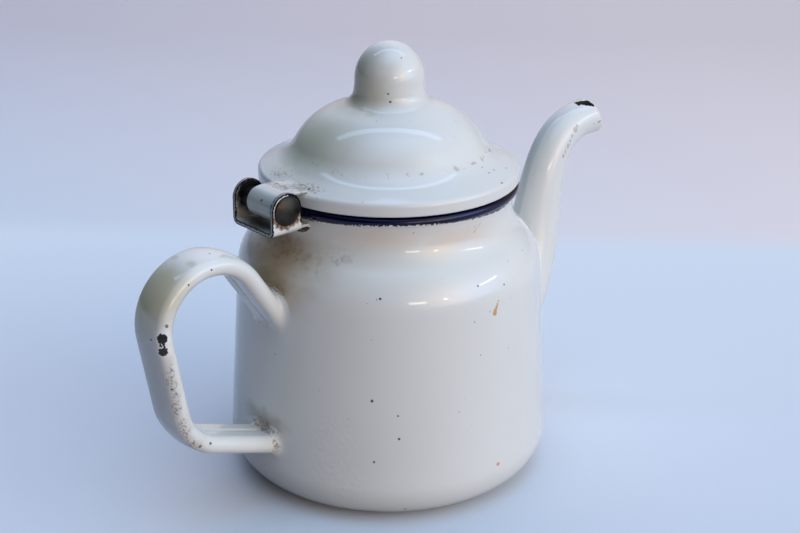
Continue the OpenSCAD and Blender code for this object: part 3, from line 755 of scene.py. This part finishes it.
loop = np.concatenate([outside, np.stack(edge_rows(-1, 1), 1), inside[:, ::-1],
                       np.stack(edge_rows(0, -1)[::-1], 1)], 1)
count, width = loop.shape[:2]
faces = net(count, width, closed_cols=True)
faces += [tuple(range(width)), tuple((count - 1) * width + k for k in range(width))[::-1]]
handle = piece("handle_strap", loop.reshape(-1, 3), faces, handle_enamel)
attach(handle, "pot")
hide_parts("handle")

# --- Lid: one drawn dome with a hollow knob -------------------------------------------
# The same enamelled sheet, drawn in one piece from flange to knob. A short ring welded
# underneath drops into the neck and keeps the lid in place.
LID_R, LID_Z, LID_EDGE_R = 39.5, 93.0, 1.6
EDGE = (37.9, 95.7)
FLANGE_SLOPE, FLANGE_W, VALLEY_R = 25.0, 4.9, 12.9
DOME_SIDE, DOME_TOP, DOME_R = 60.0, 22.0, 22.5
KNOB_R, KNOB_FILLET, KNOB_SIDE_H, KNOB_TOP_H, FOOT_LEAN, FOOT_OUT = 10.4, 5.0, 3.2, 11.0, 4.0, 0.25


def polar(radius, angle):
    """A step of that length at an angle in degrees."""
    return np.array([radius * math.cos(math.radians(angle)), radius * math.sin(math.radians(angle))])


flange_in = np.array(EDGE) + polar(LID_EDGE_R, 90 - FLANGE_SLOPE) + polar(FLANGE_W, 180 - FLANGE_SLOPE)
valley = flange_in + polar(VALLEY_R, 90 - FLANGE_SLOPE)
dome = valley - polar(VALLEY_R, 90 - DOME_SIDE) - polar(DOME_R, 90 - DOME_SIDE)
dome_top = dome + polar(DOME_R, 90 - DOME_TOP)
knob_foot_r = KNOB_R + FOOT_OUT
fillet_run = dome_top[0] + KNOB_FILLET * (math.cos(math.radians(90 - DOME_TOP))
                                          - math.cos(math.radians(FOOT_LEAN))) - knob_foot_r
fillet_start = dome_top + np.array([-fillet_run, fillet_run * math.tan(math.radians(DOME_TOP))])
fillet = fillet_start + polar(KNOB_FILLET, 90 - DOME_TOP)
knob_z = fillet[1] - KNOB_FILLET * math.sin(math.radians(FOOT_LEAN)) + KNOB_SIDE_H


def lid_skin(inset):
    """The lid's outline from its flange's edge to the top of the knob, moved in by inset."""
    line = arc(EDGE, LID_EDGE_R - inset, 0, 90 - FLANGE_SLOPE, 6)
    line += arc(valley, VALLEY_R + inset, 270 - FLANGE_SLOPE, 270 - DOME_SIDE, 1.5)
    line += arc(dome, DOME_R - inset, 90 - DOME_SIDE, 90 - DOME_TOP, 1.5)
    line += arc(fillet, KNOB_FILLET + inset, 270 - DOME_TOP, 180 + FOOT_LEAN, 3)
    foot, width = np.array(line[-1]), KNOB_R - inset
    side = [(width + (foot[0] - width) * (1 - k) ** 2, foot[1] + (knob_z - foot[1]) * k) for k in (0.25, 0.5, 0.75)]
    top = [(width * math.cos(a), knob_z + (KNOB_TOP_H - inset) * math.sin(a))
           for a in np.radians(np.arange(0, 90, 2.5))]
    return line + side + top + [(0.0, knob_z + KNOB_TOP_H - inset)]


BELOW_KNOB_Z = 106


def lid_height(radius):
    """Height of the flange and valley's upper side at a radius, for what is welded on it."""
    line = np.array(lid_skin(0))[::-1]
    line = line[line[:, 1] < BELOW_KNOB_Z]
    order = np.argsort(line[:, 0])
    return np.interp(radius, line[order, 0], line[order, 1])


VALLEY_LINE = 30.2


def valley_grime(state):
    """Coffee and dust dried in flecks along the groove where the dome meets the flange."""
    tree = state["tree"]
    off = put(tree, "Math", [from_axis(state), VALLEY_LINE], operation="SUBTRACT")
    far = put(tree, "Math", [off], operation="ABSOLUTE")
    groove = put(tree, "MapRange", [far, 0.1, 1.2, 1.0, 0.0], interpolation_type="SMOOTHSTEP")
    broken = put(tree, "TexNoise", {"Vector": state["mm"], "Scale": 1 / 2.4, "Detail": 4.0, "Roughness": 0.6})
    flecks = put(tree, "MapRange", [broken, 0.56, 0.70], interpolation_type="SMOOTHSTEP")
    mask = put(tree, "Math", [groove, flecks], operation="MULTIPLY")
    lay(state, mask, "#8a7038", 0.45, 0.02, 0.5)


lid_enamel = enamel("white vitreous enamel, lid", marks=[
    pinholes, valley_grime,
    spots([(-7.2, -7.7, 120.8, 0.3), (-7.0, -8.4, 118.5, 0.35), (10.3, -32.4, 99.3, 0.3), (13.4, -31.3, 99.3, 0.3),
           (11.2, -36.9, 97.1, 0.35), (19.4, -30.3, 98.4, 0.3), (-4.0, -9.7, 112.8, 0.4),
           (-2.0, -13.0, 111.2, 0.35), (-24, 9, 106, 0.3), (12, 20, 108, 0.3)],
          "#3a332a", 0.5, -0.04, 0.9, ragged=0.25, grain=0.5),
    spots([(19.8, -22.6, 102.0, 1.6, 1.2, 0.4)], "#9a8a55", 0.4, 0, 0.6, ragged=0.9),
    # smoke and finger grease on the hinge's side of the knob, dome and flange, and faintly over the whole knob;
    # the olive stains on the knob and dome and the film over the knob are also painted warm shade
    spots([(-9, 4, 121, 6, 8, 9), (-11, -1, 112.5, 3, 8, 2.5)], "#b09848", 0.1, 0, 0.58, soft=0.8, ragged=3,
          grain=6),
    spots([(0, 0, 119, 13, 13, 9)], "#98947c", 0.1, 0, 0.16, soft=0.6, ragged=3, grain=6),
    spots([(-26, 9, 107, 12, 15, 8)], "#bcb46c", 0.08, 0, 0.5, soft=0.8, ragged=4, grain=9),
    spots([(-34, 0, 98.5, 4, 12, 3)], "#8d8062", 0.25, 0, 0.16, soft=0.7, ragged=3, grain=4),
    speckle([(-36, -8, 98, 3, 5, 2), (-35, 8, 98, 3, 5, 2)], "#7a5e36", 1.0, 0.22, 0.5, 0.02, 0.6, soft=0.6,
            ragged=2, grain=3),
])
outer, inner = lid_skin(0), lid_skin(SHEET)
hem = arc((LID_R - SHEET / 2, LID_Z + SHEET / 2), SHEET / 2, 0, -180, 20)
wall_out, wall_in = run(outer[0], hem[0], 4), run(hem[-1], inner[0], 4)
points, faces = turn_round(outer[::-1] + wall_out + hem + wall_in + inner, TURN_STEPS)
lid = piece("lid_shell", points, faces, lid_enamel)
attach(lid, "lid")
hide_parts("lid")

COLLAR_R, COLLAR_T, COLLAR_Z, COLLAR_SUNK, COLLAR_STEPS = 35.5, 0.9, 87.0, 0.7, 192
tops = [(r, lid_height(r) - COLLAR_SUNK) for r in (COLLAR_R - COLLAR_T, COLLAR_R)]
hem = arc((COLLAR_R - COLLAR_T / 2, COLLAR_Z + COLLAR_T / 2), COLLAR_T / 2, 0, -180, 30)
outline = [tops[1]] + run(tops[1], hem[0], 6) + hem + run(hem[-1], tops[0], 6) + [tops[0]]
points, _ = turn_round(outline, COLLAR_STEPS)
ring = piece("lid_ring", points, net(len(outline), COLLAR_STEPS, True, True), lid_enamel)
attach(ring, "lid")
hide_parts("lid_collar")

# --- Lid leaf: the half of the hinge that turns ---------------------------------------
# A strip of sheet rolled round the pin, its tongue laid on the lid's flange and welded. The
# enamel has run over the tongue's edges and smoothed them into the lid.
PIN, PIN_R = (-46.0, 94.2), 3.0
LEAF_T, LEAF_IN, LEAF_Y = 1.2, 3.05, (-7.9, 4.1)
TONGUE_END, TONGUE_CORNER, SIDE_BAND, SIDE_R = -32.6, 3.6, 0.7, 0.5
# where along X the tongue comes onto the lid and starts to sink into it, and over how long a way
ON_LID, SINKING = (-40.5, 3.0), (-41.5, 6.0)
# how deep in the lid's skin its underside and its edge lie, and how far past the lid they follow it
DEEP, EDGE_DEEP, PAST_LID = 0.45, 0.12, 0.6
leaf_mid = LEAF_IN + LEAF_T / 2
leaf_y = np.interp(np.linspace(0, 1, 49), [0, 0.12, 0.88, 1],
                   [LEAF_Y[0], LEAF_Y[0] + SIDE_BAND, LEAF_Y[1] - SIDE_BAND, LEAF_Y[1]])
from_side = np.minimum(leaf_y - LEAF_Y[0], LEAF_Y[1] - leaf_y)
round_side = np.sqrt(1 - np.maximum(0, 1 - from_side / SIDE_R) ** 2)
leaf_rows = []
for a in np.radians(np.arange(58, -271, -4)):
    skins = [leaf_mid + way * LEAF_T / 2 * round_side for way in (1, -1)]
    wrap = [np.stack([PIN[0] + r * math.cos(a), leaf_y, PIN[1] + r * math.sin(a)], 1) for r in skins]
    leaf_rows.append(np.concatenate([wrap[0], wrap[1][::-1]]))
flat_top, flat_low = PIN[1] + leaf_mid + LEAF_T / 2, PIN[1] + leaf_mid - LEAF_T / 2
flat_mid = (flat_top + flat_low) / 2
for x in np.arange(PIN[0] + 0.4, TONGUE_END + 0.01, 0.3):
    from_pole = np.hypot(x, leaf_y)
    under = lid_height(np.minimum(from_pole, EDGE[0]))
    on_lid = np.clip((x - ON_LID[0]) / ON_LID[1], 0, 1)
    soft = 0.5 + 2.1 * on_lid
    to_corner = np.hypot(np.maximum(0, TONGUE_CORNER - from_side), max(0, TONGUE_CORNER - (TONGUE_END - x)))
    in_from_edge = on_lid * (TONGUE_CORNER - to_corner) + (1 - on_lid) * from_side
    lift = np.sqrt(1 - np.maximum(0, 1 - np.maximum(in_from_edge, 0) / soft) ** 2)
    lift = lift * (1 - 0.8 * np.clip((x - SINKING[0]) / SINKING[1], 0, 1) ** 1.5)
    gap = flat_top - under
    joined = under + 0.5 * (gap + np.sqrt(gap ** 2 + 0.5))
    low = np.maximum(flat_low, under - DEEP)
    rest = np.where(from_pole < EDGE[0] + PAST_LID, np.maximum(under - EDGE_DEEP, flat_low + 0.05), flat_mid)
    rest = (1 - on_lid) * flat_mid + on_lid * rest
    top = rest + (joined - rest) * lift
    base = np.minimum(rest + (low - rest) * round_side, top - 0.01)
    skins = [np.stack([0 * leaf_y + x, leaf_y, z], 1) for z in (top, base)]
    leaf_rows.append(np.concatenate([skins[0], skins[1][::-1]]))
leaf_grid = np.array(leaf_rows)
faces = net(len(leaf_grid), leaf_grid.shape[1], closed_cols=True)
half = len(leaf_y)
for start in (0, (len(leaf_grid) - 1) * 2 * half):
    end = start + 2 * half - 1
    faces += [(start + k, start + k + 1, end - 1 - k, end - k) for k in range(half - 1)]
# Painted shade: the leaf's enamel is greyer than the lid's white, to darken its upward face.
leaf_enamel_painted_shade = enamel("white vitreous enamel, hinge leaf", "#c6cbcc", "#b8bdb8", marks=[
    pinholes,
    spots([(-48.5, 0, 93.5, 3.5, 9, 4)], "#8f8c66", 0.12, 0, 0.42, soft=0.8, ragged=2, grain=5),
    # the coat wrinkled and rusted where the roll turns into the tongue
    speckle([(-42, -1, 98.3, 2.6, 7, 1.2), (-37.5, -4.5, 98.6, 4, 4.5, 1.4)], "#8d6c36", 0.8, 0.25, 0.5, 0.07, 0.8,
            soft=0.6, ragged=1.6, grain=1.5),
    spots([(-36.3, -7.4, 98.4, 1.1, 0.8, 0.8)], "#6e522c", 0.5, 0, 0.85, ragged=0.6),
    spots([(-39.2, -6.4, 98.4, 0.9)], "#8b8d8d", 0.4, 0, 0.6),
    # bare black at both cut ends of the roll
    spots([(-46, LEAF_Y[0], 94.2, 5.2, 0.4, 5.2), (-46, LEAF_Y[1], 94.2, 5.2, 0.35, 5.2)], "#1f1a15", 0.5, -0.03,
          0.9, soft=0.3, ragged=0.35, grain=0.8),
    spots([(-49.6, -2.6, 96.4, 0.35)], "#3a3b3d", 0.5, -0.03, 0.8),
])
leaf = piece("lid_leaf_rolled", leaf_grid.reshape(-1, 3), faces, leaf_enamel_painted_shade)
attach(leaf, "lid")
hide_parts("lid_leaf")

# --- Hinge bracket: a bent clevis of thicker sheet ------------------------------------
# Two round-topped ears over a floor that is welded to the neck. Its sheared edges shed the
# enamel, so a ragged black line of ground coat runs round both ears and the floor.
EAR_R, FLOOR_Z, BRACKET_T, EAR_GAP, BEND_R = 5.1, 86.8, 1.1, 16.6, 2.0
RAMP_BELOW, INTO_NECK = 0.4, 0.5
ear_y, floor_mid, bend_mid = (EAR_GAP + BRACKET_T) / 2, FLOOR_Z + BRACKET_T / 2, BEND_R - BRACKET_T / 2
bend_y, bend_z = EAR_GAP / 2 + BRACKET_T - BEND_R, FLOOR_Z + BEND_R
neck_x = -body_radius(np.array([floor_mid]))[0]
half_path = [(ear_y, PIN[1] + EAR_R * math.sin(a)) for a in np.radians([86, 80, 73, 66, 58, 50, 42, 34, 26, 17, 8])]
half_path += [(ear_y, z) for z in np.linspace(PIN[1], bend_z, 9)]
half_path += [(bend_y + bend_mid * math.cos(a), bend_z - bend_mid * math.sin(a))
              for a in np.radians(np.arange(10, 91, 10))]
floor_path = [(y, floor_mid) for y in np.linspace(-bend_y, bend_y, 22)[1:-1]]
path = [(-y, z) for y, z in half_path] + floor_path + half_path[::-1]
share = [-1, -0.93, -0.85, -0.7, -0.5, -0.25, 0, 0.25, 0.5, 0.7, 0.85, 0.93, 1]
ramp_z = bend_z - RAMP_BELOW
rows = []
for y, z in path:
    left = right = math.sqrt(EAR_R ** 2 - max(0, z - PIN[1]) ** 2)
    reach = min(1.0, max(0.0, (ramp_z - z) / (ramp_z - floor_mid)))
    to_neck = -PIN[0] - math.sqrt(neck_x ** 2 - y ** 2) + INTO_NECK
    right += (to_neck - right) * (reach ** 2)
    rows.append([(PIN[0] + (left if f < 0 else right) * f, y, z) for f in share])
sheet = np.array(rows)


def sheared_edge(state):
    """Sheared edges of the clevis: a grey worn strip between two ragged black lines of ground coat.
    edge_mm is the distance to the sheet's edge, and skin the distance from the middle of its thickness."""
    tree = state["tree"]
    edge = put(tree, "Attribute", attribute_name="edge_mm").node.outputs["Fac"]
    part = put(tree, "SeparateXYZ", [state["mm"]]).node.outputs
    side = put(tree, "Math", [part["Y"]], operation="ABSOLUTE")
    past_y = put(tree, "Math", [side, bend_y], operation="SUBTRACT")
    past_z = put(tree, "Math", [bend_z, part["Z"]], operation="SUBTRACT")
    corner = put(tree, "CombineXYZ", {"X": past_y, "Y": past_z})
    beyond = put(tree, "VectorMath", [corner, (0, 0, 0)], operation="MAXIMUM")
    from_bend = put(tree, "VectorMath", [beyond], operation="LENGTH")
    off_mid = put(tree, "Math", [from_bend, bend_mid], operation="SUBTRACT")
    skin = put(tree, "Math", [off_mid], operation="ABSOLUTE")
    torn = put(tree, "TexNoise", {"Vector": state["mm"], "Scale": 1 / 0.8, "Detail": 4.0, "Roughness": 0.6})
    reach = put(tree, "Math", [torn, 1.5, -0.28], operation="MULTIPLY_ADD")
    inside = put(tree, "Math", [reach, edge], operation="SUBTRACT")
    black = put(tree, "MapRange", [inside, 0.0, 0.12])
    lay(state, black, "#100e10", 0.4, -0.05, 1.0, 0.8)
    worn = put(tree, "Math", [torn, 1.3, -0.33], operation="MULTIPLY_ADD")
    flat = put(tree, "Math", [worn, skin], operation="SUBTRACT")
    strip = put(tree, "MapRange", [flat, -0.04, 0.04])
    near = put(tree, "MapRange", [edge, 0.36, 0.26])
    both = put(tree, "Math", [strip, near], operation="MULTIPLY")
    lay(state, both, "#9a9894", 0.4, 0.0, 0.9)


def ring_of(radius, start, end, count, y, half):
    """Places along an arc round the pin."""
    return [(PIN[0] + radius * math.cos(a), y, PIN[1] + radius * math.sin(a)) + half
            for a in np.radians(np.linspace(start, end, count)).tolist()]


bracket_enamel = enamel("white vitreous enamel, hinge bracket", marks=[
    # painted shade between the ears and under the knuckle: brown over the inner faces and the floor, darkest
    # on the floor beneath the knuckle, and black near the pin on the rear ear's inner face
    spots([(-46, 8.3, 90, 6, 1.0, 5), (-45, 0, 87.6, 8, 8.6, 1.6), (-46, -8.3, 92, 6, 0.9, 7)], "#6b563a", 0.4, 0,
          0.75, soft=0.4, ragged=1, grain=3),
    spots([(-44, 1, 87.6, 6.5, 6.5, 1.4)], "#2b2218", 0.5, 0, 0.7, soft=0.6, ragged=1.5, grain=3),
    spots([(-45.5, 8.2, 95.6, 5.6, 0.8, 5.2)], "#100c09", 0.5, 0, 1.0, 0.7, soft=0.3, ragged=1.2, grain=2),
    # rust that wept round the front head, and enamel lost beside it
    spots(ring_of(4.9, 205, 335, 7, -9.4, (0.9, 0.6, 0.9)), "#7a4c0c", 0.4, 0.02, 0.9, soft=0.4, ragged=0.9,
          grain=1.2),
    spots(ring_of(4.75, 225, 320, 6, -9.4, (0.5, 0.6, 0.5)), "#4b2a0e", 0.5, 0.02, 0.8, soft=0.4, ragged=0.7,
          grain=1.0),
    spots(ring_of(4.8, -5, 75, 6, -9.4, (0.75, 0.6, 0.75)), "#0f0d0f", 0.45, -0.05, 1.0, 0.8, soft=0.15, ragged=0.4,
          grain=1.0),
    spots(ring_of(4.8, 0, 360, 14, 9.4, (0.9, 0.6, 0.9)), "#5f4526", 0.5, 0.0, 0.6, soft=0.6, ragged=1.4,
          grain=1.6),
    sheared_edge,
])
mesh = bpy.data.meshes.new("hinge_clevis")
mesh.from_pydata((sheet.reshape(-1, 3) * 0.001).tolist(), [], net(sheet.shape[0], sheet.shape[1]))
mesh.shade_smooth()
mesh.materials.append(bracket_enamel)
bracket = bpy.data.objects.new("hinge_clevis", mesh)
scene.collection.objects.link(bracket)
thick = bracket.modifiers.new("thickness", "SOLIDIFY")
thick.thickness, thick.offset, thick.use_even_offset = BRACKET_T * 0.001, 0, True
soften = bracket.modifiers.new("fired edges", "BEVEL")
soften.width, soften.segments, soften.limit_method, soften.angle_limit = 0.00028, 3, "ANGLE", math.radians(50)
bracket.data = bpy.data.meshes.new_from_object(bracket.evaluated_get(bpy.context.evaluated_depsgraph_get()))
bracket.modifiers.clear()
bracket.data.name = "hinge_clevis"
spot = np.empty(len(bracket.data.vertices) * 3)
bracket.data.vertices.foreach_get("co", spot)
spot = spot.reshape(-1, 3) * 1000
from_pin = spot[:, 0] - PIN[0]
on_ear = spot[:, 2] > PIN[1]
edge_mm = np.where(on_ear, EAR_R - np.hypot(from_pin, spot[:, 2] - PIN[1]), EAR_R + from_pin)
edge_mm = np.where(~on_ear & (spot[:, 2] > bend_z), np.minimum(edge_mm, EAR_R - from_pin), edge_mm)
store = bracket.data.attributes.new("edge_mm", "FLOAT", "POINT")
store.data.foreach_set("value", np.maximum(edge_mm, 0).astype(np.float32))
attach(bracket, "pot")
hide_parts("hinge_bracket")

# A small bead of burnt weld at the front corner of the floor, where the enamel stayed thin.
burnt = enamel("burnt weld under thin enamel", "#241d17", "#3b3026", [
    speckle([(-39.3, -9.2, 87.4, 5, 4, 4)], "#7a5a34", 0.7, 0.16, 0.7, 0.05, 0.7)])
WELD_AT, WELD_HALF, WELD_ROWS, WELD_COLS = (-39.9, -9.15, 87.2), (1.9, 0.95, 0.6), 21, 40
turn, rise = np.meshgrid(np.linspace(0, 2 * math.pi, WELD_COLS, endpoint=False),
                         np.linspace(-math.pi / 2, math.pi / 2, WELD_ROWS))
lump = (1 + 0.16 * np.sin(3 * turn + 1.1) * np.cos(rise) + 0.12 * np.sin(5 * turn - 2 * rise) * np.cos(rise) ** 2
        + 0.08 * np.cos(7 * rise + turn) * np.cos(rise))
ball = (np.cos(rise) * np.cos(turn), np.cos(rise) * np.sin(turn), np.sin(rise))
points = np.stack([mid + half * lump * way for mid, half, way in zip(WELD_AT, WELD_HALF, ball)], 2).reshape(-1, 3)
foot_weld = piece("foot_weld", points, net(WELD_ROWS, WELD_COLS, closed_cols=True), burnt, 80)
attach(foot_weld, "pot")

# --- Hinge pin: bare steel, riveted over both ears ------------------------------------
# A plain 6 mm rod whose ends were hammered into low domes. It carries no enamel and has gone
# dark with oxide and kitchen grease.
HEAD_R, HEAD_H, HEAD_EDGE, PIN_STEPS = 4.35, 1.7, 0.4, 64
steel = bpy.data.materials.new("oxidised bare steel")
steel.use_nodes = True
tree = steel.node_tree
mm = in_mm(tree)
cloud = put(tree, "TexNoise", {"Vector": mm, "Scale": 1 / 2.2, "Detail": 5.0, "Roughness": 0.6})
oxide = put(tree, "Mix", {"Factor": cloud, "A": colour("#181512"), "B": colour("#45413a")}, data_type="RGBA")
flecks = put(tree, "TexNoise", {"Vector": mm, "Scale": 1 / 0.6, "Detail": 3.0})
rusty = put(tree, "MapRange", [flecks, 0.60, 0.72])
skin = put(tree, "Mix", {"Factor": rusty, "A": oxide, "B": colour("#4c3a28")}, data_type="RGBA")
gloss = put(tree, "MapRange", [cloud, 0.3, 0.7, 0.28, 0.5])
dents = put(tree, "Math", [flecks, 0.05], operation="MULTIPLY")
bump = put(tree, "Bump", {"Height": dents, "Distance": 0.001, "Strength": 1.0})
feed(tree.nodes["Principled BSDF"], {"Metallic": 0.85, "Base Color": skin, "Roughness": gloss, "Normal": bump})
ball = (HEAD_R ** 2 + (HEAD_H - HEAD_EDGE) ** 2) / (2 * (HEAD_H - HEAD_EDGE))
swing = math.degrees(math.asin(HEAD_R / ball))
crown = arc((0, HEAD_H - ball), ball, 90 - swing, 90, 3)[:-1]
points, faces = turn_round([(0.0, 0.0), (HEAD_R * 0.6, 0.0), (HEAD_R, 0.0), *crown, (0.0, HEAD_H)], PIN_STEPS)
head_die = piece("rivet_head_die", points, faces, steel, 60)
shank_end = EAR_GAP / 2 + BRACKET_T
points, faces = turn_round([(0.0, -shank_end), (PIN_R, -shank_end), (PIN_R, shank_end), (0.0, shank_end)],
                           PIN_STEPS)
points = np.stack([PIN[0] + points[:, 0], points[:, 2], PIN[1] + points[:, 1]], 1)
pin = piece("hinge_rivet", points, faces, steel, 50)


def rivet_heads():
    """Geometry nodes that put one hammered head on each end of the rod."""
    tree, given = growth("rivet heads", {"Head": "Object", "Half Length": "Float", "Axis Centre": "Vector",
                                         "Finish": "Material"})
    index = put(tree, "GeometryNodeInputIndex")
    side = put(tree, "Math", [index, 2.0, -1.0], operation="MULTIPLY_ADD")
    along = put(tree, "Math", [side, given["Half Length"]], operation="MULTIPLY")
    offset = put(tree, "CombineXYZ", {"Y": along})
    where = put(tree, "VectorMath", [offset, given["Axis Centre"]], operation="ADD")
    ends = put(tree, "GeometryNodePoints", {"Count": 2, "Position": where})
    lean = put(tree, "Math", [side, -math.pi / 2], operation="MULTIPLY")
    turn = put(tree, "CombineXYZ", {"X": lean})
    rotation = put(tree, "FunctionNodeEulerToRotation", [turn])
    die = put(tree, "GeometryNodeObjectInfo", {"Object": given["Head"]}, transform_space="ORIGINAL")
    heads = put(tree, "GeometryNodeInstanceOnPoints", {"Points": ends, "Instance": die.node.outputs["Geometry"],
                                                       "Rotation": rotation})
    both = put(tree, "GeometryNodeJoinGeometry")
    feed(both.node, [heads])
    feed(both.node, [given["Geometry"]])
    real = put(tree, "GeometryNodeRealizeInstances", [both])
    put(tree, "NodeGroupOutput", [put(tree, "GeometryNodeSetMaterial",
                                      {"Geometry": real, "Material": given["Finish"]})])
    return tree


grow(pin, rivet_heads(), {"Head": head_die, "Half Length": shank_end * 0.001,
                          "Axis Centre": (PIN[0] * 0.001, 0.0, PIN[1] * 0.001), "Finish": steel})
bpy.data.objects.remove(head_die)
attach(pin, "pot")
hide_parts("hinge_pin")
